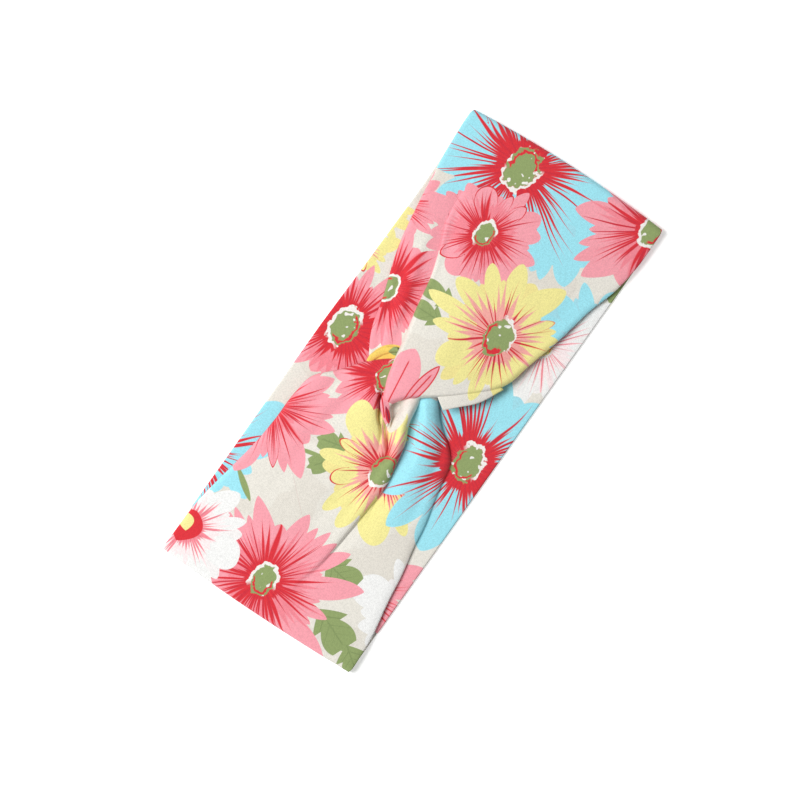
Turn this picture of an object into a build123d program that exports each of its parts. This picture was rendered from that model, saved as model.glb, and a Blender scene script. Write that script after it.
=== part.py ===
from build123d import *

import os
from math import cos, radians, sin

# A wide stretch headband with a crossed knot, lying flat with the knot on top.
# X runs along the band, Y across it, Z up. The origin is on the table, under the knot.
# Each wrap is one strip of jersey that goes from the back of the band, round one end, to
# the knot, through the loop of the other wrap, and back inside its own first leg.

# Overall size
LENGTH = 240.0
WIDTH = 100.0
CLOTH = 0.5
THREAD = 0.24

# Heights between the layers
SEAM_GAP = 0.4
HEAD_GAP = 2.0
LOW_OUTER = CLOTH / 2
LOW_INNER = LOW_OUTER + CLOTH + SEAM_GAP
HIGH_INNER = LOW_INNER + CLOTH + HEAD_GAP
HIGH_OUTER = HIGH_INNER + CLOTH + SEAM_GAP
LOW_SEAM = (LOW_OUTER + LOW_INNER) / 2
HIGH_SEAM = (HIGH_OUTER + HIGH_INNER) / 2

# Along the band, from the middle
JOIN_X = 98.0
JOIN_GAP = 0.3
TURN_X = LENGTH / 2 - CLOTH / 2 - (HIGH_OUTER - LOW_OUTER) / 2
SHOULDER_X = 30.0
NECK_X = 7.0

# The two hooked necks in the knot
KNOT_HEIGHT = 6.9
ROPE = 1.9
NECK = 4.3
NECK_ROUND = 2.1
HOOK_RADIUS = 4.4
HOOK_OFFSET = 2.0
HOOK_TILT = 45.0

# Long edges of each wrap, from the end of the band to the shoulder of the knot, as the
# four control points of one curve. Both wraps are given as on the right half: the lower
# one is turned half round afterwards.
HALF_WIDTH = WIDTH / 2
BEYOND = LENGTH / 2 + 4
UPPER_FAR_EDGE = [(BEYOND, HALF_WIDTH), (90.0, HALF_WIDTH), (55.0, 47.0), (SHOULDER_X, 36.0)]
UPPER_NEAR_EDGE = [(BEYOND, -HALF_WIDTH), (90.0, -HALF_WIDTH), (55.0, -40.0), (SHOULDER_X, -33.0)]
LOWER_FAR_EDGE = [(BEYOND, HALF_WIDTH), (95.0, HALF_WIDTH), (55.0, 40.0), (SHOULDER_X, 36.0)]
LOWER_NEAR_EDGE = [(BEYOND, -HALF_WIDTH), (85.0, -HALF_WIDTH), (55.0, -41.0), (SHOULDER_X, -40.0)]
SEAM_INSET = 1.5


def turned_layer(low, high):
    """One layer of cloth, full width, turned round the end of the band."""
    radius = (high - low) / 2
    middle = (high + low) / 2
    path = Line((JOIN_X + JOIN_GAP, low), (TURN_X, low))
    path += CenterArc((TURN_X, middle), radius, -90, 180)
    path += Line((TURN_X, high), (SHOULDER_X - 2, high))
    section = trace(path, CLOTH)
    return extrude(Plane.XZ * section, WIDTH, both=True)


def outline(far_edge, near_edge):
    """The wrap's shape from above, as a block to trim its layers with."""
    top = Bezier(far_edge)
    bottom = Bezier(near_edge)
    end = Line(far_edge[0], near_edge[0])
    shoulder = Line(far_edge[-1], near_edge[-1])
    face = make_face([top, bottom, end, shoulder])
    return extrude(face, 2 * HIGH_OUTER, both=True)


def fan(height, far_y, near_y, neck_y, neck_z):
    """The cloth gathering from the shoulder into one leg of the neck."""
    width = far_y - near_y - 2
    thick = 0.8 * CLOTH
    wide = Plane((SHOULDER_X + 1, (far_y + near_y) / 2, height), (0, 1, 0), (1, 0, 0))
    narrow = Plane((NECK_X, neck_y, neck_z), (0, 1, 0), (1, 0, 0))
    start = wide * RectangleRounded(width, thick, 0.4 * thick)
    stop = narrow * RectangleRounded(NECK, NECK, NECK_ROUND)
    return loft([start.face(), stop.face()], ruled=True)


def hook():
    """The bunched cloth of one wrap where it turns back through the other wrap's hook."""
    tilt = radians(HOOK_TILT)
    plane = Plane((0, 0, KNOT_HEIGHT), (1, 0, 0), (0, -sin(tilt), -cos(tilt)))
    reach = NECK_X + 1
    path = Line((reach, HOOK_RADIUS), (HOOK_OFFSET, HOOK_RADIUS))
    path += CenterArc((HOOK_OFFSET, 0), HOOK_RADIUS, 90, 180)
    path += Line((HOOK_OFFSET, -HOOK_RADIUS), (reach, -HOOK_RADIUS))
    path = plane * path
    return sweep(Plane(path @ 0, z_dir=path % 0) * Circle(ROPE), path)


def wrap(far_edge, near_edge):
    """One strip: outer leg, inner leg, both turned round the end, and the hook."""
    shape = outline(far_edge, near_edge)
    outer = turned_layer(LOW_OUTER, HIGH_OUTER) & shape
    inner = turned_layer(LOW_INNER, HIGH_INNER) & shape
    far_y = far_edge[-1][1]
    near_y = near_edge[-1][1]
    side = HOOK_RADIUS * cos(radians(HOOK_TILT))
    rise = HOOK_RADIUS * sin(radians(HOOK_TILT))
    over = fan(HIGH_OUTER, far_y, near_y, -side, KNOT_HEIGHT + rise)
    under = fan(HIGH_INNER, far_y, near_y, side, KNOT_HEIGHT - rise)
    return outer + over + hook() + under + inner


def back_panel(height):
    """One flat layer of the back of the band, from join to join."""
    return Pos(0, 0, height) * Box(2 * JOIN_X, WIDTH, CLOTH)


def thread(curve, height):
    """A line of stitching along a plan curve, as one thin rod."""
    return Pos(0, 0, height) * extrude(trace(curve, THREAD), THREAD / 2, both=True)


def wrap_edge_threads(far_edge, near_edge):
    """The stitching of a wrap's two long edges, between its two legs."""
    lines = []
    for edge, inward in ((far_edge, -SEAM_INSET), (near_edge, SEAM_INSET)):
        points = [(min(x, TURN_X), y + inward) for x, y in edge]
        lines.append(thread(Bezier(points), HIGH_SEAM))
    return Compound(lines)


def back_edge_threads():
    """The stitching of the back's two long edges."""
    reach = JOIN_X - SEAM_INSET
    lines = []
    for y in (HALF_WIDTH - SEAM_INSET, SEAM_INSET - HALF_WIDTH):
        lines.append(thread(Line((-reach, y), (reach, y)), LOW_SEAM))
    return Compound(lines)


def join_thread(side):
    """The stitching across the band where a wrap meets the back."""
    x = side * (JOIN_X + JOIN_GAP / 2)
    y = HALF_WIDTH - SEAM_INSET
    return thread(Line((x, -y), (x, y)), LOW_SEAM)


HALF_TURN = Rot(0, 0, 180)

pieces = {
    "upper_wrap": wrap(UPPER_FAR_EDGE, UPPER_NEAR_EDGE),
    "lower_wrap": HALF_TURN * wrap(LOWER_FAR_EDGE, LOWER_NEAR_EDGE),
    "back_inner_panel": back_panel(LOW_INNER),
    "back_outer_panel": back_panel(LOW_OUTER),
    "upper_wrap_edge_stitching": wrap_edge_threads(UPPER_FAR_EDGE, UPPER_NEAR_EDGE),
    "lower_wrap_edge_stitching": HALF_TURN * wrap_edge_threads(LOWER_FAR_EDGE, LOWER_NEAR_EDGE),
    "back_edge_stitching": back_edge_threads(),
    "right_join_stitching": join_thread(1),
    "left_join_stitching": join_thread(-1),
}

os.makedirs("parts", exist_ok=True)
for node, shape in pieces.items():
    export_step(shape, f"parts/{node}.step")
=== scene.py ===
from math import cos, pi, radians, sin

import bpy
import numpy as np
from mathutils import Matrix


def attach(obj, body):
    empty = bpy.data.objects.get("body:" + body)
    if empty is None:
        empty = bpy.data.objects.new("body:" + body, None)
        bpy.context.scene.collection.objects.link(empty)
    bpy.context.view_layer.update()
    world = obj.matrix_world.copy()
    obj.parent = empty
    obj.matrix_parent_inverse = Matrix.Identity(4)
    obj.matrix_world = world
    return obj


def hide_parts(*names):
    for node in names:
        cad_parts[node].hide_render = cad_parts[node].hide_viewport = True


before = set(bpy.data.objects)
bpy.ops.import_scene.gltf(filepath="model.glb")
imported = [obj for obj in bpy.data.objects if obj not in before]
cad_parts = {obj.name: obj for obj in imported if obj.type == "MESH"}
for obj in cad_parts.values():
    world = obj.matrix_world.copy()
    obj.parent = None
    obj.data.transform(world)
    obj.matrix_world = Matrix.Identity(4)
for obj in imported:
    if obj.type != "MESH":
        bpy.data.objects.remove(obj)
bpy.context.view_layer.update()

# A knotted headband of printed jersey, lying flat with its knot on top. Lengths are in
# millimetres until they reach Blender. X runs along the band, Y across it.
MM = 0.001
CLOTH = 0.5
HALF_WIDTH = 50.0

# Along the band from its middle: where a wrap is joined to the back and where it turns round
# the end, and how far its nose reaches past the middle of the knot
JOIN_X = 98.1
TURN_X = 117.6
NOSE_X = -9.0

# Heights of the four layers, from the table up, and the least gap between a wrap's legs
LOW_OUTER = 0.25
LOW_INNER = 1.15
HIGH_INNER = 3.65
HIGH_OUTER = 4.55
LAYER_GAP = 0.6

# How far the corners of the ends are rounded in, as a share of the half width, and how far
# the nose of a wrap bulges forward, as a share of half its height
CORNER = 0.012
NOSE_BULGE = 0.45

# How far from an edge or a crease the cloth begins to roll down, and how much narrower on
# each side, and lower at its edges, the return leg of a wrap is
EDGE_REACH = 2.5
CREASE_REACH = 1.9
RETURN_INSET = 0.8
RETURN_DROP = 0.3

# The stitches, how far their line is from the edge of the cloth, and where it ends in the knot
SEAM_INSET = 1.5
SEAM_START = 8
STITCH = 2.0
STITCH_GAP = 0.9
THREAD_RADIUS = 0.12


# ---- Cloth shapes ----


def curve(*points):
    """A smooth function through (x, value) points, level beyond its ends."""
    xs, values = np.array(sorted(points), float).T
    slopes = np.gradient(values, xs)

    def at(x):
        x = np.clip(x, xs[0], xs[-1])
        i = np.clip(np.searchsorted(xs, x) - 1, 0, len(xs) - 2)
        gap = xs[i + 1] - xs[i]
        t = (x - xs[i]) / gap
        rise = values[i] * (1 + 2 * t) * (1 - t) ** 2 + values[i + 1] * t**2 * (3 - 2 * t)
        return rise + gap * (slopes[i] * t * (1 - t) ** 2 - slopes[i + 1] * t**2 * (1 - t))

    return at


def spread(count):
    """Shares from 0 to 1, closer together at both ends."""
    even = np.linspace(0, 1, count)
    return 0.5 * even + 0.25 * (1 - np.cos(pi * even))


def roll(distance, drop, reach):
    """How far cloth falls as it turns over a rounded edge."""
    e = np.clip(1 - distance / reach, 0, 1)
    return drop * (1 - np.sqrt(1 - e**2))


def unrolled(y, fall, start):
    """Where the print lies on cloth that is flat at start and rolls down by fall."""
    extra = np.hypot(np.diff(y), np.diff(fall)) - np.abs(np.diff(y))
    extra = np.concatenate([[0], np.cumsum(extra)])
    return y + extra - extra[start]


def seam_dip(x, depth, reach=0.8):
    """How far the cloth is drawn in beside the seam that joins it to the back."""
    return depth * np.exp(-((JOIN_X - x) / reach) ** 2)


def fold(line, heights, near=1.0, far=None):
    """A ridge along a line, or a groove if its heights are negative.

    near and far are how far it spreads to either side of the line.
    """
    return curve(*line), curve(*heights), near, far or near


class Wrap:
    """One strip of cloth: round the end of the band, to the knot, round and back inside.

    It is described as the one on the right half. Turned, it is the one on the left.
    The front leg is a lobe from the near edge to the crease, then a part tucked under it.
    Each list of (x, value) points says how one thing changes along the band:
    near, crease and far are the edges of both parts, lobe and tuck their heights, and crown
    and tuck_crown how much higher their middles are. overlap is how far the tucked part
    starts under the lobe, and is negative where there is no crease. far_drop is how much
    the far edge rolls down, within far_reach of it. back is the height of the return leg.
    """

    # How many points a cross-section has in the lobe, in the crease and in the tucked part
    LOBE, PLEAT, TUCK = 100, 7, 44

    def __init__(self, turned, near, crease, far, lobe, tuck, crown, tuck_crown, overlap,
                 far_drop, far_reach, back, folds, tuck_folds):
        self.side = -1 if turned else 1
        self.near, self.crease, self.far = curve(*near), curve(*crease), curve(*far)
        self.lobe, self.tuck = curve(*lobe), curve(*tuck)
        self.crown, self.tuck_crown = curve(*crown), curve(*tuck_crown)
        self.overlap = curve(*overlap)
        self.far_drop, self.far_reach = curve(*far_drop), far_reach
        self.back = curve(*back)
        self.folds, self.tuck_folds = folds, tuck_folds

    def front(self, x):
        """The cross-section of the front leg at x, as y, z and the y of its print."""
        lobe = self.lobe_part(x)
        tuck = self.tucked_part(x)
        share = np.linspace(0, 1, self.PLEAT + 2)[1:-1]
        pleat = [last[-1] + share * (first[0] - last[-1]) for last, first in zip(lobe, tuck)]
        return [np.concatenate(parts) for parts in zip(lobe, pleat, tuck)]

    def lobe_part(self, x):
        """The front leg from the near edge to the crease, rolling down at both."""
        near, crease = self.near(x), self.crease(x)
        share = spread(self.LOBE)
        y = near + share * (crease - near)
        z = self.layer(self.lobe, self.crown, self.folds, x, y, share)
        pleated = np.clip(self.overlap(x), 0, 1)
        near_drop = max(self.lobe(x) - self.edge_height(x), 0)
        crease_drop = max(self.lobe(x) - self.tuck(x) - CLOTH * pleated, 0)
        fall = roll(y - near, near_drop, EDGE_REACH) + roll(crease - y, crease_drop, CREASE_REACH)
        return y, z - fall, unrolled(y, fall, self.LOBE // 2)

    def tucked_part(self, x):
        """The front leg from under the crease to the far edge."""
        start, far = self.crease(x) - self.overlap(x), self.far(x)
        share = spread(self.TUCK)
        y = start + share * (far - start)
        z = self.layer(self.tuck, self.tuck_crown, self.tuck_folds, x, y, share)
        fall = roll(far - y, self.far_drop(x), self.far_reach)
        return y, z - fall, unrolled(y, fall, 0)

    def layer(self, height, crown, folds, x, y, share):
        """The height of crowned and folded cloth, which stays clear of the leg under it."""
        z = height(x) + crown(x) * 4 * share * (1 - share)
        return np.maximum(z + self.creased(folds, x, y), self.back(x) + LAYER_GAP)

    def creased(self, folds, x, y):
        """The height that the folds add at x."""
        rise = 0
        for line, height, near, far in folds:
            off = y - line(x)
            rise = rise + height(x) * np.exp(-((off / np.where(off < 0, near, far)) ** 2))
        return rise

    def edge_height(self, x):
        """Where the near edges of both legs meet."""
        return 0.5 * (self.lobe(x) + self.back(x))

    def inside(self, x):
        """The cross-section of the return leg at x, as y and z."""
        share = np.linspace(0, 1, self.LOBE + self.PLEAT + self.TUCK)
        near, far = self.near(x) + RETURN_INSET, self.far(x) - RETURN_INSET
        y = near + share * (far - near)
        return y, self.back(x) - roll(np.minimum(y - near, far - y), RETURN_DROP, EDGE_REACH)

    def seams(self):
        """The stitching lines of both long edges, between the front and the return leg."""
        lines = []
        for edge, inset in ((self.near, SEAM_INSET), (self.far, -SEAM_INSET)):
            line = []
            for x in np.linspace(SEAM_START, TURN_X, 60):
                y, z, _ = self.front(x)
                across = edge(x) + inset
                height = 0.5 * (np.interp(across, *self.upward(y, z)) + self.back(x))
                line.append((self.side * x, self.side * across, height))
            lines.append(line)
        return lines

    def upward(self, y, z):
        """The part of a cross-section that y rises along, for reading heights from."""
        rising = np.maximum.accumulate(y) == y
        return y[rising], z[rising]

    def rows(self):
        """Every cross-section in order, as points and print coordinates."""
        points, prints = [], []
        for x, y, z, along, across in self.path():
            x, z, along = x + 0 * y, z + 0 * y, along + 0 * y
            points.append(np.stack([self.side * x, self.side * y, z], 1))
            prints.append(np.stack([self.side * along, self.side * across], 1))
        return np.array(points), np.array(prints)

    def path(self):
        """The strip from end to end: x, y, z, and how far along and across the print.

        Its cross-sections are closer together in the knot.
        """
        yield from self.outer_end()
        for x in [*np.linspace(TURN_X, 36, 50), *np.linspace(35.5, NOSE_X, 91)]:
            y, z, across = self.front(x)
            yield x, y, z, x, across
        yield from self.nose()
        for x in np.linspace(NOSE_X, TURN_X, 45):
            y, z = self.inside(x)
            yield x, y, z, x, y
        yield from self.inner_end()

    def outer_end(self):
        """The outer leg from its join, where it dips into the seam, and up round the end."""
        y, _, _ = self.front(TURN_X)
        radius = (HIGH_OUTER - LOW_OUTER) / 2
        for x in np.linspace(JOIN_X, TURN_X, 10):
            yield x, y, LOW_OUTER + seam_dip(x, 0.35), 2 * TURN_X - x + pi * radius, y
        for turn in np.linspace(-pi / 2, pi / 2, 14)[1:-1]:
            rounded = y * (1 - CORNER * cos(turn) ** 2)
            z = LOW_OUTER + radius + radius * sin(turn)
            along = TURN_X + radius * (pi / 2 - turn)
            yield TURN_X + radius * cos(turn), rounded, z, along, rounded

    def nose(self):
        """The bend from the front leg down and back to the inner leg."""
        front_y, front_z, front_print = self.front(NOSE_X)
        back_y, back_z = self.inside(NOSE_X)
        bend = 0.5 * (front_z - back_z)
        for turn in np.linspace(0, pi, 12)[1:-1]:
            y = front_y + turn / pi * (back_y - front_y)
            across = front_print + turn / pi * (back_y - front_print)
            z = 0.5 * (front_z + back_z) + bend * cos(turn)
            forward = bend * sin(turn)
            yield NOSE_X - NOSE_BULGE * forward, y, z, NOSE_X - forward, across

    def inner_end(self):
        """The inner leg down round the end and to its join."""
        y, _ = self.inside(TURN_X)
        radius = (HIGH_INNER - LOW_INNER) / 2
        for turn in np.linspace(pi / 2, -pi / 2, 10)[1:-1]:
            z = LOW_INNER + radius + radius * sin(turn)
            yield TURN_X + radius * cos(turn), y, z, TURN_X, y
        for x in np.linspace(TURN_X, JOIN_X, 8):
            yield x, y, LOW_INNER - seam_dip(x, 0.25), x, y


def patch(first, second, bulge, zone=0, shift=(0, 0), columns=16, rows=32):
    """A small fold of cloth between two lines of (x, y, z) points, bulging between them.

    shift is how far along the print its cloth comes from.
    """
    share = np.linspace(0, 1, rows)
    edges = []
    for line in (first, second):
        line = np.array(line, float)
        knots = np.linspace(0, 1, len(line))
        edges.append(np.stack([curve(*zip(knots, axis))(share) for axis in line.T], 1))
    across = np.linspace(0, 1, columns)[None, :, None]
    points = edges[0][:, None] * (1 - across) + edges[1][:, None] * across
    points[..., 2] += bulge * np.sqrt(4 * across * (1 - across))[..., 0]
    return points, points[..., :2] + shift, zone


# How the band lies along its length: how much it slants, how far its middle line bows along
# it, and how much its far half is drawn in. The slant and the last are shares of y.
ASKEW = curve((-120, -0.029), (-98, -0.018), (-40, 0), (40, 0), (98, -0.03), (120, -0.046))
BOWED = curve((-120, -1.2), (-105, -0.8), (-75, 0), (75, 0), (105, 1.4), (120, 2.2))
DRAWN_IN = curve((0, 0), (50, 0.02), (85, 0.026), (112, 0))


def as_laid(points, place):
    """Points, or their print coordinates, moved as a band that isn't quite square lies."""
    x, y = place[:, 0], place[:, 1]
    moved = np.array(points, float)
    moved[:, 0] += ASKEW(x) * y + BOWED(x) * (1 - (y / HALF_WIDTH) ** 2)
    moved[:, 1] -= DRAWN_IN(x) * np.clip(y, 0, HALF_WIDTH)
    return moved


def riding_object(name, corners, faces, materials):
    """A smooth mesh object on the band, from corners in metres."""
    mesh = bpy.data.meshes.new(name)
    mesh.from_pydata(corners.tolist(), [], faces)
    for material in materials:
        mesh.materials.append(material)
    mesh.polygons.foreach_set("use_smooth", np.ones(len(mesh.polygons), bool))
    obj = bpy.data.objects.new(name, mesh)
    bpy.context.scene.collection.objects.link(obj)
    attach(obj, "root")
    return obj


def cloth_object(name, grids, materials):
    """A cloth piece from grids of points, each with print coordinates and face zones."""
    corners, prints, faces, zones = [], [], [], []
    for points, plan, zone in grids:
        rows, columns = points.shape[:2]
        index = sum(map(len, corners)) + np.arange(rows * columns).reshape(rows, columns)
        face = np.stack([index[:-1, :-1], index[:-1, 1:], index[1:, 1:], index[1:, :-1]], -1)
        points, plan = points.reshape(-1, 3), plan.reshape(-1, 2)
        corners.append(as_laid(points, points) * MM)
        prints.append(as_laid(plan, points) * MM)
        faces.append(face.reshape(-1, 4))
        zones.append(np.broadcast_to(zone, face.shape[:2]).ravel())
    obj = riding_object(name, np.concatenate(corners), np.concatenate(faces).tolist(), materials)
    mesh = obj.data
    mesh.polygons.foreach_set("material_index", np.concatenate(zones))
    loops = np.zeros(len(mesh.loops), int)
    mesh.loops.foreach_get("vertex_index", loops)
    layer = mesh.uv_layers.new(name="print")
    layer.data.foreach_set("uv", np.concatenate(prints)[loops].ravel())
    thick = obj.modifiers.new("cloth", "SOLIDIFY")
    thick.thickness = CLOTH * MM
    thick.offset = 0
    return obj


def rod(middles, sides=6):
    """The corners and faces of one stitch: a closed rod of thread that thins at its ends."""
    direction = middles[-1] - middles[0]
    direction /= np.linalg.norm(direction)
    level = np.array([-direction[1], direction[0], 0])
    upright = np.cross(direction, level)
    corners, faces = [], []
    for share, middle in zip(np.linspace(0, 1, len(middles)), middles):
        thick = THREAD_RADIUS * max(1 - (2 * share - 1) ** 4, 0.2)
        for turn in 2 * pi * np.arange(sides) / sides:
            corners.append(middle + thick * (cos(turn) * level + sin(turn) * upright))
    last = (len(middles) - 1) * sides
    for first in range(0, last, sides):
        for side in range(sides):
            a, b = first + side, first + (side + 1) % sides
            faces.append((a, b, b + sides, a + sides))
    faces.append(tuple(reversed(range(sides))))
    faces.append(tuple(range(last, last + sides)))
    return corners, faces


def stitches(points):
    """The middle line of every stitch along a line of points."""
    points = np.array(points, float)
    steps = np.hypot(*np.diff(points[:, :2], axis=0).T)
    along = np.concatenate([[0], np.cumsum(steps)])
    for start in np.arange(STITCH_GAP, along[-1] - STITCH - STITCH_GAP, STITCH + STITCH_GAP):
        places = start + np.linspace(0, STITCH, 7)
        yield np.stack([np.interp(places, along, axis) for axis in points.T], 1)


def stitching(node, lines, material):
    """All the stitches of one seam, in place of the seam's plain CAD thread."""
    corners, faces = [], []
    for line in lines:
        for middles in stitches(line):
            more, joined = rod(middles)
            faces += [tuple(corner + len(corners) for corner in face) for face in joined]
            corners += more
    corners = as_laid(corners, np.array(corners)) * MM
    obj = riding_object(node + "_thread", corners, faces, [material])
    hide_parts(node)


# Both wraps are given as on the right half of the band, with Y growing from the near edge
# to the far one. Each list of points follows one line from the end of the band to the knot.
UPPER = Wrap(
    turned=False,
    near=[(120, -50), (99.9, -50), (85.5, -47.8), (74.2, -44.2), (57.1, -40.7), (40.1, -36.3),
          (24.4, -31.5), (13.6, -22), (7.6, -15.3), (1.3, -7.2), (-4.6, 0), (NOSE_X, 3.2)],
    crease=[(120, 33), (90, 33.2), (72.3, 32.2), (59.9, 27.3), (48.4, 23.3), (30, 19.4),
            (14.5, 15.7), (5.9, 14), (-4.6, 11.1), (NOSE_X, 9)],
    far=[(120, 50), (90, 49.3), (70, 46.7), (44, 41), (29.8, 35.8), (6.3, 27.3), (-1, 22),
         (NOSE_X, 11)],
    lobe=[(120, HIGH_OUTER), (100, 4.1), (70, 4.7), (40, 6.6), (15, 9.2), (0, 10.2),
          (NOSE_X, 8.8)],
    tuck=[(120, HIGH_OUTER), (100, 4.0), (70, 3.5), (40, 3.4), (15, 3.5), (0, 3.6), (NOSE_X, 5)],
    crown=[(120, 0), (60, 0.8), (10, 1.6), (NOSE_X, 0.6)],
    tuck_crown=[(120, 0), (70, 0.3), (40, 1.4), (15, 0.9), (NOSE_X, 0.2)],
    overlap=[(120, -5), (84, -5), (72, 0), (60, 3), (40, 6), (10, 6), (NOSE_X, 1)],
    far_drop=[(120, 0.45), (95, 0.6), (10, 0.8), (NOSE_X, 0.5)],
    far_reach=2.0,
    back=[(120, HIGH_INNER), (105, 3.2), (90, 2.6), (40, 2.6), (NOSE_X, 3.4)],
    folds=[
        fold([(-8, 5), (30, -2), (70, 14)], [(-9, 0), (10, 0.5), (45, 0.4), (80, 0)], 5, 9),
        fold([(10, -18), (40, -30), (80, -38)], [(5, 0), (25, -0.5), (60, -0.4), (90, 0)], 4, 4),
        fold([(20, 17), (50, 21), (85, 34)], [(10, 0), (35, -0.4), (65, -0.7), (95, 0)], 4, 3),
    ],
    tuck_folds=[
        fold([(5, 20), (30, 26), (60, 35)], [(0, 0), (15, 0.8), (40, 0.7), (75, 0)], 2.2, 3.5),
        fold([(5, 24), (25, 30), (50, 37)], [(4, 0), (15, -0.8), (35, -0.6), (60, 0)], 1.8, 1.8),
    ],
)
LOWER = Wrap(
    turned=True,
    near=[(120, -50), (92.8, -48.8), (73, -45.5), (60, -43.3), (46.6, -42.1), (30.8, -41.6),
          (20.3, -39.4), (11.2, -31.3), (1.3, -23.6), (-6.8, -14.6), (NOSE_X, -11)],
    crease=[(120, 10.5), (98, 10), (85.1, 12.2), (67.8, 13.9), (53.3, 14.8), (41.3, 15.2),
            (33.7, 13.9), (26.7, 12.5), (20.7, 11), (13.4, 7.7), (3.9, 6), (NOSE_X, 2)],
    far=[(120, 50), (104.8, 49.2), (80.8, 45.2), (71.3, 43.9), (57.5, 41.1), (45, 39.2),
         (33.1, 36.3), (25.3, 34.7), (15.2, 31.7), (9.7, 26.1), (6.3, 20.8), (-3.8, 11.5),
         (NOSE_X, 7)],
    lobe=[(120, HIGH_OUTER), (100, 4.1), (60, 4.6), (30, 6.0), (10, 7.0), (NOSE_X, 6.2)],
    tuck=[(120, HIGH_OUTER), (100, 4.0), (60, 3.5), (30, 3.4), (10, 3.6), (NOSE_X, 4.2)],
    crown=[(120, 0), (60, 0.5), (25, 0.9), (NOSE_X, 0.3)],
    tuck_crown=[(120, 0), (60, 0.4), (25, 1.2), (8, 1.2), (NOSE_X, 0.4)],
    overlap=[(120, -5), (74, -5), (60, -3), (46, 0.6), (20, 2.5), (NOSE_X, 1)],
    far_drop=[(120, 0.45), (95, 0.8), (60, 1.2), (25, 2.0), (NOSE_X, 1.5)],
    far_reach=4.0,
    back=[(120, HIGH_INNER), (105, 3.2), (90, 2.6), (40, 2.3), (NOSE_X, 2.0)],
    folds=[
        # the main lobe, and the crease where it ends beside the nose of the other wrap
        fold([(9, -14), (19, -9.5), (30, -3), (60, 4)],
             [(2, 0), (10, 1.2), (22, 1.0), (50, 0.3), (80, 0)], 9, 4),
        fold([(9, -10.6), (14.4, -7.6), (19.2, -4.6), (22.6, -1.2), (30, 3)],
             [(6, 0), (10, -4.5), (18, -4.0), (24, -1.6), (34, 0)], 0.8, 1.3),
        fold([(6, -5), (14, -3), (22, 2)], [(5, 0), (9, -3.0), (17, -3.0), (24, 0)], 3.2, 3.2),
        # the hole and the short valley
        fold([(5, -1.6), (15, -1.4)], [(6.5, 0), (9, -3.2), (14, -3.2), (17, 0)], 2.2, 1.6),
        fold([(8, -2.9), (12.5, -1)], [(8, 0), (9.2, -4), (11, -4), (12.4, 0)], 0.8, 0.8),
        fold([(5, -0.5), (12, 0), (20.7, 0.8), (25, 4.3), (29.5, 8.3)],
             [(3, 0), (8, -2.6), (15, -4.3), (25, -4.5), (30, -2.4), (35, 0)], 1.7, 1.2),
        # the ridge along the long valley
        fold([(4, 3.4), (10, 4.8), (15, 5.6), (20, 7.6), (27, 9.8), (34, 11), (60, 11.5),
              (90, 9)], [(2, 0.8), (10, 3.2), (20, 3.6), (34, 2.0), (60, 0.8), (95, 0)], 2.6, 3.2),
        # soft folds that fan out from the knot
        fold([(50, 15.2), (67.8, 14), (85.1, 12.2), (98, 9)],
             [(45, 0), (60, -0.7), (80, -0.9), (105, 0)], 1.0, 2.0),
        fold([(15, -20), (40, -24), (80, -26)], [(8, 0), (22, -0.7), (45, -0.5), (80, 0)], 3, 5),
        fold([(15, -30), (40, -35)], [(6, 0), (15, -0.7), (28, -0.5), (45, 0)], 2.5, 3),
        fold([(30, 1), (60, 0), (95, -4)], [(22, 0), (40, -0.6), (70, -0.4), (100, 0)], 4, 4),
    ],
    tuck_folds=[
        fold([(50, 15.2), (67.8, 14), (85.1, 12.2), (98, 9)],
             [(45, 0), (60, -0.7), (80, -0.9), (105, 0)], 1.0, 2.5),
        fold([(1.1, 8.5), (7.2, 13), (13.3, 15.4), (18.8, 18.7), (24, 20), (33.9, 21), (60, 24)],
             [(-6, 0.6), (2, 2.6), (20, 3.0), (35, 1.6), (70, 0)], 3.2, 8),
        fold([(4, 19), (12, 25), (30, 30), (60, 33)],
             [(0, 0), (8, -0.6), (30, -0.6), (60, 0)], 2.5, 2.5),
    ],
)


# ---- Colours of the print ----


def paint(red, green, blue):
    """A printed colour, given as it looks, as the linear colour that Blender needs."""
    def linear(x):
        x /= 255
        return x / 12.92 if x <= 0.04045 else ((x + 0.055) / 1.055) ** 2.4
    return (linear(red), linear(green), linear(blue), 1)


CREAM = paint(232, 228, 218)
PALE = paint(244, 241, 236)
RED = paint(220, 50, 60)
MAROON = paint(150, 40, 70)
PINK = paint(247, 163, 174)
DEEP_PINK = paint(243, 138, 150)
BLUE = paint(160, 229, 242)
YELLOW = paint(243, 234, 154)
# Yellow print deepened to orange as painted shade, for the fold of the lip
YELLOW_IN_PAINTED_SHADE = paint(242, 208, 104)
GREEN = paint(146, 164, 106)
SHADED_GREEN = paint(132, 150, 96)
WHITE = paint(243, 243, 241)

# How softly a printed shape ends, in millimetres
SOFT = 0.3


# ---- Node formulas ----


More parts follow.
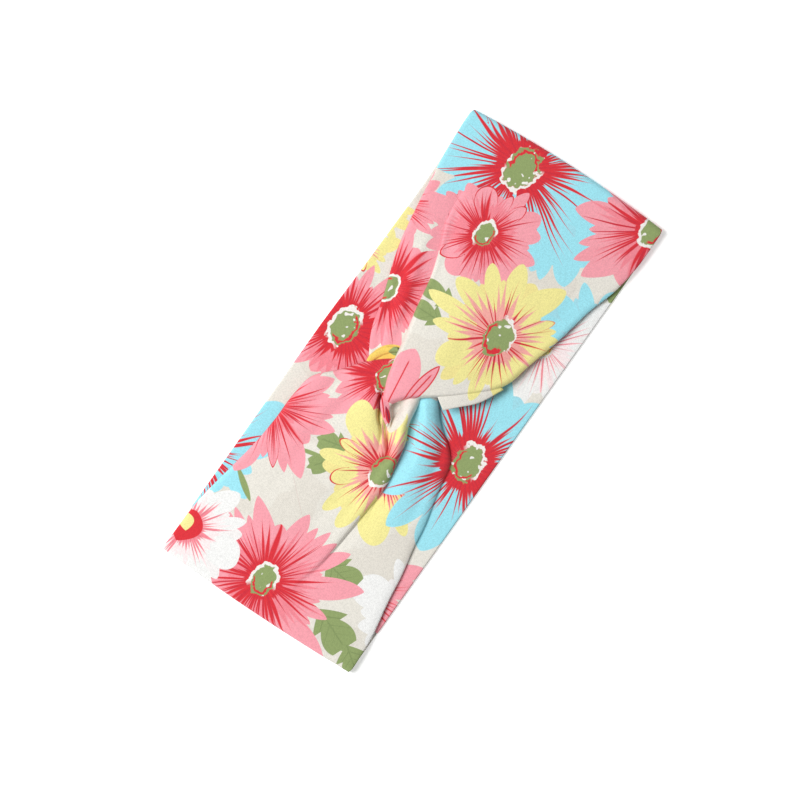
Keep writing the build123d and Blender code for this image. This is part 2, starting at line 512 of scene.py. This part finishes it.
class Net:
    """A node tree that is written as formulas."""

    def __init__(self, tree):
        self.tree = tree

    def node(self, kind, inputs=(), **settings):
        """A new node with those settings, and with values or links in those inputs."""
        made = self.tree.nodes.new(kind)
        for name, value in settings.items():
            setattr(made, name, value)
        for key, value in dict(inputs).items():
            self.put(made.inputs[key], value)
        return made

    def put(self, socket, value):
        """Links a value that comes from a node, and sets any other."""
        value = getattr(value, "socket", value)
        if isinstance(value, bpy.types.NodeSocket):
            self.tree.links.new(value, socket)
        else:
            socket.default_value = value

    def math(self, operation, *values, clamp=False):
        made = self.tree.nodes.new("ShaderNodeMath")
        made.operation = operation
        made.use_clamp = clamp
        for socket, value in zip(made.inputs, values):
            self.put(socket, value)
        return Num(self, made.outputs[0])

    def mix(self, share, first, second, blend="MIX"):
        made = self.node("ShaderNodeMix", data_type="RGBA", blend_type=blend)
        for key, value in ((0, share), (6, first), (7, second)):
            self.put(made.inputs[key], value)
        return made.outputs[2]

    def noise(self, point, scale, detail=1.0, shift=0.0):
        made = self.node("ShaderNodeTexNoise", {"Scale": scale, "Detail": detail, "W": shift},
                         noise_dimensions="4D")
        self.put(made.inputs["Vector"], point)
        return Num(self, made.outputs["Fac"])

    def chance(self, value):
        """A fixed chance number from 0 to 1 for each value."""
        made = self.node("ShaderNodeTexWhiteNoise", {"W": value}, noise_dimensions="1D")
        return Num(self, made.outputs["Value"])


class Num:
    """A number in a node tree."""

    def __init__(self, net, socket):
        self.net, self.socket = net, socket

    def __add__(self, other):
        return self.net.math("ADD", self, other)

    def __sub__(self, other):
        return self.net.math("SUBTRACT", self, other)

    def __rsub__(self, other):
        return self.net.math("SUBTRACT", other, self)

    def __mul__(self, other):
        return self.net.math("MULTIPLY", self, other)

    def __truediv__(self, other):
        return self.net.math("DIVIDE", self, other)

    def __pow__(self, other):
        return self.net.math("POWER", self, other)

    __radd__ = __add__
    __rmul__ = __mul__

    def floor(self):
        return self.net.math("FLOOR", self)

    def abs(self):
        return self.net.math("ABSOLUTE", self)

    def sqrt(self):
        return self.net.math("SQRT", self)

    def clamp(self):
        return self.net.math("ADD", self, 0.0, clamp=True)

    def most(self, other):
        return self.net.math("MAXIMUM", self, other)

    def modulo(self, other):
        return self.net.math("FLOORED_MODULO", self, other)

    def edge(self, soft):
        """1 where positive and 0 where negative, over a soft step."""
        return (self / soft + 0.5).clamp()


def new_group(name, inputs):
    """A node group with those inputs, which gives one colour."""
    kinds = {"f": "NodeSocketFloat", "v": "NodeSocketVector", "c": "NodeSocketColor"}
    tree = bpy.data.node_groups.new(name, "ShaderNodeTree")
    for key, kind in inputs.items():
        tree.interface.new_socket(name=key, in_out="INPUT", socket_type=kinds[kind])
    tree.interface.new_socket(name="Color", in_out="OUTPUT", socket_type=kinds["c"])
    source = tree.nodes.new("NodeGroupInput")
    sink = tree.nodes.new("NodeGroupOutput")
    net = Net(tree)
    values = {key: Num(net, source.outputs[key]) for key in inputs}
    return net, values, sink


def parted(net, vector):
    """The x and y of a vector."""
    made = net.node("ShaderNodeSeparateXYZ", {0: vector})
    return Num(net, made.outputs[0]), Num(net, made.outputs[1])


def printed_eye(net, v, color, dx, dy, heading):
    """A daisy's rough oval eye, with drips in it, a broken rim round it and a hooked line."""
    rough = net.noise(v["Point"], 0.3, 2.0, v["Seed"] + 3.0) - 0.5
    oval = (dx * dx * 0.7 + dy * dy * 1.4).sqrt() / v["Eye"] + rough * 0.7
    iris = ((0.86 - oval) * v["Eye"]).edge(SOFT)
    facing = net.math("SINE", heading + v["Seed"])
    color = net.mix(iris, color, v["Iris"])
    drips = net.noise(v["Point"], 0.4, 0.0, v["Seed"] + 9.0)
    inner = (drips - 0.7).edge(0.03) * ((0.9 - oval) * v["Eye"]).edge(SOFT)
    color = net.mix(inner, color, PALE)
    brush = (v["Ring"] - (oval - 0.95).abs()) * v["Eye"]
    color = net.mix(brush.edge(SOFT) * (facing + v["Open"]).edge(SOFT), color, PALE)
    hook = (0.07 - (oval - 0.68).abs()) * v["Eye"]
    return net.mix(hook.edge(SOFT) * (0.15 - facing).edge(0.2), color, RED)


def daisy_group():
    """A printed daisy: two rings of petals, brush strokes from its core, and an eye."""
    net, v, sink = new_group("daisy", {
        "Under": "c", "Point": "v", "Place": "v", "Radius": "f", "Turn": "f", "Petals": "f",
        "Notch": "f", "Blunt": "f", "Core": "f", "Reach": "f", "Strokes": "f", "Eye": "f",
        "Ring": "f", "Seed": "f", "Open": "f", "Weight": "f",
        "Petal": "c", "Glow": "c", "Stroke": "c", "Iris": "c"})
    px, py = parted(net, v["Point"])
    cx, cy = parted(net, v["Place"])
    dx, dy = px - cx, py - cy
    distance = (dx * dx + dy * dy).sqrt()
    r = distance / v["Radius"]
    heading = net.math("ARCTAN2", dy, dx) + v["Turn"]
    sway = net.noise(v["Point"], 0.045, 0.0, v["Seed"]) - 0.5
    uneven = net.math("SINE", heading * 3 + v["Seed"]) + net.math("SINE", heading * 5 - v["Seed"])
    angle = heading + uneven * 0.07 + sway * 0.16

    def ring(shift, length):
        """How far inside the nearest petal of a ring a point is, and the petal's luck."""
        a = angle * v["Petals"] / (2 * pi) + shift
        k = a.floor()
        off = a - k - 0.5
        luck = net.chance(k.modulo(v["Petals"]) + v["Seed"] + 7.3 * shift)
        tip = (1 - (off.abs() * 2.1) ** v["Blunt"]).most(0.0) ** 0.7
        rim = (length - luck * 0.32) * (v["Notch"] + tip * (1 - v["Notch"]))
        return (rim - r) * v["Radius"], luck

    back, _ = ring(0.5, 0.88)
    front, luck = ring(0.0, 1.0)
    outline = (0.7 - front).edge(SOFT) * (luck - 0.86).edge(0.02)
    back, front = back.edge(SOFT), front.edge(SOFT)
    petals = back.most(front)
    color = net.mix(back, v["Under"], net.mix(0.05, v["Petal"], v["Stroke"]))
    color = net.mix(front, color, net.mix(outline, v["Petal"], v["Stroke"]))

    def strokes(count, seed, core, reach, power, thin=1.0):
        """Tapering strokes from the core outwards, each to its own length."""
        a = angle * count / (2 * pi)
        k = a.floor()
        off = (a - k - 0.5).abs()
        luck = net.chance(k.modulo(count) + v["Seed"] * 3.1 + seed)
        tip = core + (reach - core) * luck**power
        half = (((tip - r) / (tip - core * 0.9)).clamp() ** 1.7) * 0.8 * thin
        return ((half - off) * distance * (2 * pi) / count - 0.12).edge(0.25) * petals

    many, few = v["Strokes"], (v["Strokes"] * 0.45).floor()
    glow = strokes(many, 2.3, v["Core"] * 1.1 + 0.15, v["Reach"] * 0.9, 1.2)
    color = net.mix(glow, color, v["Glow"])
    bright = strokes(many, 1.7, v["Core"], v["Reach"] * 0.9, 1.1, v["Weight"])
    color = net.mix(bright, color, v["Stroke"])
    dark = strokes(few, 5.1, v["Core"] * 0.8, v["Reach"] * 1.05, 0.8, v["Weight"] * 0.33)
    color = net.mix(dark, color, net.mix(0.2, v["Stroke"], MAROON))
    net.put(sink.inputs[0], printed_eye(net, v, color, dx, dy, heading))
    return net.tree


def petal_group():
    """A single long petal, or a lobed leaf with side veins if it has teeth."""
    net, v, sink = new_group("petal", {
        "Under": "c", "Point": "v", "Place": "v", "Angle": "f", "Length": "f", "Width": "f",
        "Teeth": "f", "Rim": "f", "Fill": "c", "Vein": "c"})
    px, py = parted(net, v["Point"])
    bx, by = parted(net, v["Place"])
    dx, dy = px - bx, py - by
    c, s = net.math("COSINE", v["Angle"]), net.math("SINE", v["Angle"])
    u = (dx * c + dy * s) / v["Length"]
    side = (dy * c - dx * s) / v["Width"]
    bow = net.math("SINE", u.clamp() ** 1.25 * pi).most(0.0) ** 0.6 * 0.5
    lobes = u * 2.3
    saw = (1 - lobes + lobes.floor()) * v["Teeth"]
    inside = (bow - saw - side.abs() - 0.03) * v["Width"]
    mask = inside.edge(SOFT)
    color = net.mix(mask, v["Under"], v["Fill"])
    rib = (0.3 - side.abs() * v["Width"]).edge(SOFT) * (0.8 - u).edge(0.05)
    rays = u * 6 - side.abs() * 4
    ray = ((1 - u * 1.3) * 0.14 - (rays - rays.floor() - 0.5).abs()).edge(0.08)
    vein = rib.most(ray * (v["Teeth"] - 0.01).edge(0.01))
    rim = (v["Rim"] - inside).edge(0.25)
    color = net.mix(vein.most(rim) * mask, color, v["Vein"])
    net.put(sink.inputs[0], color)
    return net.tree


GROUPS = {"daisy": daisy_group(), "petal": petal_group()}

# How each kind of daisy looks. Up to core its brush strokes cover everything, and the longest
# ends at reach, both as shares of the radius. The eye is in millimetres.
LOOKS = {
    "pink": dict(petals=12, notch=0.45, blunt=1.3, core=0.2, reach=0.9, strokes=64, weight=0.95,
                 eye=5.5, ring=0.11, open=0.4, petal=PINK, glow=DEEP_PINK, stroke=RED,
                 iris=GREEN),
    "blue": dict(petals=12, notch=0.68, blunt=1.4, core=0.27, reach=1.0, strokes=76, weight=1,
                 eye=8.5, ring=0.08, open=-0.1, petal=BLUE, glow=BLUE, stroke=RED, iris=GREEN),
    "yellow": dict(petals=14, notch=0.55, blunt=1.6, core=0.14, reach=0.88, strokes=40,
                   weight=0.62, eye=6.8, ring=0.08, open=-0.5, petal=YELLOW,
                   glow=paint(246, 172, 164), stroke=RED, iris=GREEN),
    "white": dict(petals=10, notch=0.5, blunt=1.6, core=0.1, reach=0.85, strokes=40, weight=0.55,
                  eye=5.0, ring=0.1, open=0.2, petal=WHITE, glow=paint(250, 234, 234),
                  stroke=DEEP_PINK, iris=YELLOW),
}


def daisy(look, x, y, radius, turn=0.0, **changes):
    """A daisy at x and y. Its place also decides its chance details."""
    values = dict(LOOKS[look], place=(x, y, 0), radius=radius, turn=turn, seed=(x * 3 + y) % 17)
    return "daisy", values | changes


def leaf(x, y, angle, length, width, fill=GREEN, vein=SHADED_GREEN, teeth=0.2, rim=0.0):
    """A leaf or a single petal that starts at x and y and points along angle, in degrees."""
    return "petal", dict(place=(x, y, 0), angle=radians(angle), length=length, width=width,
                         fill=fill, vein=vein, teeth=teeth, rim=rim)


def put_motif(net, under, point, motif):
    """Prints one motif over the colour under it."""
    kind, look = motif
    made = net.node("ShaderNodeGroup", node_tree=GROUPS[kind])
    for key, value in dict(look, under=under, point=point).items():
        net.put(made.inputs[key.title()], value)
    return made.outputs[0]


def printed_jersey(name, motifs):
    """Cream stretch jersey with printed flowers and a fine knit grain."""
    material = bpy.data.materials.new(name)
    material.use_nodes = True
    net = Net(material.node_tree)
    shader = material.node_tree.nodes["Principled BSDF"]
    uv = net.node("ShaderNodeUVMap", uv_map="print")
    scaled = net.node("ShaderNodeVectorMath", {1: (1 / MM,) * 3}, operation="MULTIPLY")
    net.put(scaled.inputs[0], uv.outputs[0])
    point = scaled.outputs[0]
    tone = net.noise(point, 0.045, 1.0, 2.0)
    color = net.mix((tone - 0.52).edge(0.02) * 0.3, CREAM, paint(214, 206, 194))
    for motif in motifs:
        # A trace of the last motif's colour in the place of the next makes the renderer work
        # through them one at a time. All at once, they need more memory than it has.
        made = net.node("ShaderNodeVectorMath", {1: (1e-7,) * 3, 2: point},
                        operation="MULTIPLY_ADD")
        net.put(made.inputs[0], color)
        color = put_motif(net, color, made.outputs[0], motif)
    grain = net.noise(point, 1.7, 2.0, 1.0)
    color = net.mix(1.0, color, net.mix(grain, (0.74,) * 3 + (1,), (1.24,) * 3 + (1,)), "MULTIPLY")
    net.put(shader.inputs["Base Color"], color)
    shader.inputs["Roughness"].default_value = 0.85
    shader.inputs["Specular IOR Level"].default_value = 0.25
    shader.inputs["Sheen Weight"].default_value = 0.12
    shader.inputs["Sheen Roughness"].default_value = 0.5
    x, y = parted(net, point)
    wales = net.math("SINE", y * (2 * pi / 0.7))
    courses = net.math("SINE", x * (2 * pi / 0.6) + wales * 1.2)
    height = wales * 0.3 + courses * 0.3 + grain
    bump = net.node("ShaderNodeBump", {"Height": height, "Strength": 0.35, "Distance": 0.0002})
    net.put(shader.inputs["Normal"], bump.outputs[0])
    return material


# ---- The print, part by part ----

# Places are in millimetres on the whole band seen from above. Each motif covers the ones
# before it. Those with a name lie across a crease or an edge, so two parts show them. The
# tongue shows the print of the lower lobe 70 mm further up.
BIG_BLUE = daisy("blue", 109, 17, 53, 0.3, core=0.24, eye=9.5)
TOP_PINK = daisy("pink", 75, 13.5, 31, 0.2, core=0.25, notch=0.6, blunt=1.6)
KNOT_BLUE = daisy("blue", -12.5, -39, 48, 0.1)
KNOT_YELLOW = daisy("yellow", -36.3, -10.4, 34.5, 0.4, petals=15, notch=0.66, blunt=1.8,
                    core=0.18, strokes=52, weight=0.85)
END_PINK = daisy("pink", -107, 5, 45, 0.5, petals=15, eye=7.0)
END_LEAVES = [
    leaf(-84, -11, 262, 22, 20),
    leaf(-102, -20, 248, 27, 21),
    leaf(-108, -40, 235, 20, 17),
]

UPPER_LOBE = [
    daisy("blue", 100, -10, 36, 0.5, eye=0.1, core=0.0, reach=0.0),
    BIG_BLUE,
    daisy("blue", 60, -54, 36, 0.7, core=0.05, reach=0.6, notch=0.6),
    daisy("pink", 119.5, -46.5, 43, 0.0, eye=6.5),
    TOP_PINK,
    leaf(41, 4, 88, 21, 12),
    leaf(32, 4, 92, 19, 12),
    daisy("yellow", 40.6, -17.4, 37, 0.0, eye=8.2),
    leaf(-15, 5, 8, 31, 16, PINK, RED, 0),
    leaf(-12, 0, -8, 28, 6, PINK, RED, 0, 0.6),
]
UPPER_TUCK = [
    BIG_BLUE,
    daisy("pink", 64, 54, 29, 0.5),
    TOP_PINK,
    daisy("pink", 31, 35, 38, 0.1, core=0.26),
    # The lip's fold: the yellow is the print, and its orange is painted shade in the fold
    leaf(-2.5, 24.6, -36, 19, 9, YELLOW_IN_PAINTED_SHADE, YELLOW_IN_PAINTED_SHADE, 0),
    leaf(8, 18.5, -55, 6, 4, GREEN, GREEN, 0),
]
LOWER_LOBE = [
    daisy("blue", -72, 56, 26, 0.2, eye=0.1, core=0.0, reach=0.0),
    leaf(-37, 6, 105, 18, 13),
    leaf(-38, 5, 142, 23, 12),
    leaf(-51, 29, 286, 15, 2, GREEN, GREEN, 0),
    leaf(-71.5, 44.8, 235, 18, 3, GREEN, GREEN, 0),
    daisy("pink", -41, 46, 40, 0.2, core=0.12, eye=3),
    daisy("pink", -1, 12, 35, 0.3, core=0.28, ring=0.04, eye=7),
    leaf(4, 2, 194, 24, 17, CREAM, CREAM, 0),
    leaf(-7, 82, 222, 17, 6, PINK, RED, 0),
    leaf(-12.5, 75.5, 228, 9, 2.4, RED, MAROON, 0),
    *END_LEAVES,
    KNOT_YELLOW,
    leaf(1, 3, 195, 23, 9, CREAM, CREAM, 0),
    leaf(-95, 47, 300, 13, 6, YELLOW, RED, 0, 0.5),
    END_PINK,
    daisy("white", -107, 46.5, 32, 0.0, core=0.24, eye=0.1, weight=0.8),
    leaf(-115, 47, 0, 16, 15, RED, RED, 0),
    leaf(-109, 46, 30, 8, 7, YELLOW, YELLOW, 0),
]
LOWER_TUCK = [
    daisy("white", -84, -61, 34, 0.0, eye=0.1, core=0.0, reach=0.0, glow=WHITE),
    *END_LEAVES,
    KNOT_YELLOW,
    KNOT_BLUE,
    END_PINK,
]
INNER_BACK = [
    daisy("yellow", 58, 60, 20, 0.0),
    daisy("yellow", 40, 56, 18, 0.4),
    daisy("blue", -75, 62, 42, 0.3),
    daisy("pink", 5.7, 40.5, 38, 0.0, core=0.32, eye=8),
    leaf(110, -60, 150, 34, 18),
    daisy("white", 50, -37, 38, 0.2, reach=0.9),
    daisy("pink", -87, -30, 36, 0.3),
    KNOT_BLUE,
]
OUTER_BACK = [
    daisy("pink", -80, 20, 36, 0.0),
    daisy("white", -60, -34, 26, 0.3),
    daisy("yellow", -32, 22, 28, 0.6),
    leaf(-50, -8, 20, 20, 11),
    daisy("blue", 0, -20, 36, 0.1),
    daisy("pink", 36, 26, 34, 0.4),
    leaf(52, -16, -40, 20, 11),
    daisy("yellow", 74, -26, 28, 0.2),
    daisy("pink", 92, 24, 30, 0.8),
]


# ---- Pieces ----


def build_wrap(name, wrap, motifs, tuck_motifs, patches):
    """A wrap's cloth, with one print up to the middle of its crease and another beyond."""
    lobe = printed_jersey(name + "_front", motifs)
    tuck = printed_jersey(name + "_tucked", tuck_motifs)
    points, prints = wrap.rows()
    zones = np.zeros(points.shape[1] - 1, int)
    zones[wrap.LOBE + wrap.PLEAT // 2:] = 1
    grids = [(points, prints, zones), *patches]
    obj = cloth_object(name + "_cloth", grids, [lobe, tuck])
    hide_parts(name)
    return obj


def build_panel(name, height, rise, motifs):
    """One layer of the back, whose edges turn to meet the other layer's."""
    x = JOIN_X * (2 * spread(160) - 1)
    y = HALF_WIDTH * (2 * spread(90) - 1)
    gx, gy = np.meshgrid(x, y, indexing="ij")
    z = height + roll(HALF_WIDTH - np.abs(gy), rise, 1.2)
    z = z + seam_dip(np.abs(gx), rise)
    grid = np.stack([gx, gy, z], -1), np.stack([gx, gy], -1), 0
    obj = cloth_object(name + "_cloth", [grid], [printed_jersey(name, motifs)])
    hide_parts(name)
    return obj


# Turned corners of cloth: below the upper lobe, behind it, and a tongue under its nose.
FLAP = patch([(0.9, -16.3, 8.6), (5.4, -20.5, 8.4), (13.3, -27.7, 7.2), (24, -33, 5.5)],
             [(4.2, -11.2, 9.0), (8, -12, 8.9), (16, -18, 8.4), (26, -26, 7.0)], 0.4)
LIP = patch([(-0.8, 22.2, 3.9), (3.5, 20.6, 4.1), (8, 17.8, 4.3), (11, 14.6, 4.8)],
            [(-0.8, 24.0, 4.4), (2.6, 24.0, 4.5), (8.4, 21.2, 4.6), (12, 16.4, 5.2)], 0.8, 1)
TONGUE = patch([(-9.5, 9.5, 8.0), (-13, 7.9, 7.9), (-16.8, 4.2, 7.6), (-19.6, -0.3, 7.0)],
               [(-9, 4.0, 7.0), (-12.6, 3.4, 7.1), (-16, 0.6, 7.0), (-19.4, -0.6, 6.9)], 0.6,
               shift=(0, 70))

upper = build_wrap("upper_wrap", UPPER, UPPER_LOBE, UPPER_TUCK, [FLAP, LIP])
lower = build_wrap("lower_wrap", LOWER, LOWER_LOBE, LOWER_TUCK, [TONGUE])
inner = build_panel("back_inner_panel", LOW_INNER, -0.2, INNER_BACK)
outer = build_panel("back_outer_panel", LOW_OUTER, 0.2, OUTER_BACK)


def cotton_thread():
    """Matte cream sewing thread with a fine twist."""
    material = bpy.data.materials.new("thread")
    material.use_nodes = True
    net = Net(material.node_tree)
    shader = material.node_tree.nodes["Principled BSDF"]
    place = net.node("ShaderNodeTexCoord")
    twist = net.node("ShaderNodeTexWave", {"Scale": 700.0, "Distortion": 1.0},
                     bands_direction="DIAGONAL")
    net.put(twist.inputs["Vector"], place.outputs["Object"])
    color = net.mix(twist.outputs["Fac"], paint(214, 208, 192), paint(238, 233, 220))
    net.put(shader.inputs["Base Color"], color)
    shader.inputs["Roughness"].default_value = 0.8
    shader.inputs["Sheen Weight"].default_value = 0.2
    bump = net.node("ShaderNodeBump", {"Strength": 0.5, "Distance": 0.00005})
    net.put(bump.inputs["Height"], twist.outputs["Fac"])
    net.put(shader.inputs["Normal"], bump.outputs[0])
    return material


def stitch_everything():
    """The seams of both wraps, of the back, and of the joins between them."""
    material = cotton_thread()
    stitching("upper_wrap_edge_stitching", UPPER.seams(), material)
    stitching("lower_wrap_edge_stitching", LOWER.seams(), material)
    middle = 0.5 * (LOW_OUTER + LOW_INNER)
    reach, side = JOIN_X - SEAM_INSET, HALF_WIDTH - SEAM_INSET
    back = [[(-reach, y, middle), (reach, y, middle)] for y in (-side, side)]
    stitching("back_edge_stitching", back, material)
    for name, x in (("right", JOIN_X), ("left", -JOIN_X)):
        join = [[(x, -side, middle), (x, side, middle)]]
        stitching(name + "_join_stitching", join, material)


stitch_everything()


# ---- Floor, light and camera ----


def add_floor():
    """A plain white floor that glows a little, as on a light table."""
    bpy.ops.mesh.primitive_plane_add(size=6, location=(0, 0, 0))
    floor = bpy.context.object
    floor.name = "floor"
    material = bpy.data.materials.new("floor")
    material.use_nodes = True
    shader = material.node_tree.nodes["Principled BSDF"]
    shader.inputs["Base Color"].default_value = (0.9, 0.9, 0.9, 1)
    shader.inputs["Roughness"].default_value = 1.0
    shader.inputs["Emission Color"].default_value = (1, 1, 1, 1)
    shader.inputs["Emission Strength"].default_value = 0.4
    floor.data.materials.append(material)


def add_light():
    """Even white light from all round, and one large soft lamp above the far side."""
    world = bpy.data.worlds.new("world")
    bpy.context.scene.world = world
    world.use_nodes = True
    world.node_tree.nodes["Background"].inputs[0].default_value = (1, 1, 1, 1)
    world.node_tree.nodes["Background"].inputs[1].default_value = 0.29
    lamp = bpy.data.lights.new("softbox", "AREA")
    lamp.shape = "RECTANGLE"
    lamp.size, lamp.size_y = 0.7, 0.7
    lamp.energy = 19
    obj = bpy.data.objects.new("softbox", lamp)
    bpy.context.scene.collection.objects.link(obj)
    obj.location = (-0.3, 0.72, 1.15)
    direction = obj.location.normalized()
    obj.rotation_euler = direction.to_track_quat("Z", "Y").to_euler()


def add_camera():
    """A camera straight above, as the photo was taken, with the band at a slant in view."""
    camera = bpy.data.cameras.new("camera")
    camera.lens = 200
    camera.sensor_width = 36
    camera.clip_end = 20
    obj = bpy.data.objects.new("camera", camera)
    bpy.context.scene.collection.objects.link(obj)
    view_width = 0.3559
    obj.location = (-0.0067, 0.0018, view_width * camera.lens / camera.sensor_width)
    obj.rotation_euler = (0, 0, radians(-54.7))
    bpy.context.scene.camera = obj


add_floor()
add_light()
add_camera()
bpy.context.scene.view_settings.view_transform = "Standard"
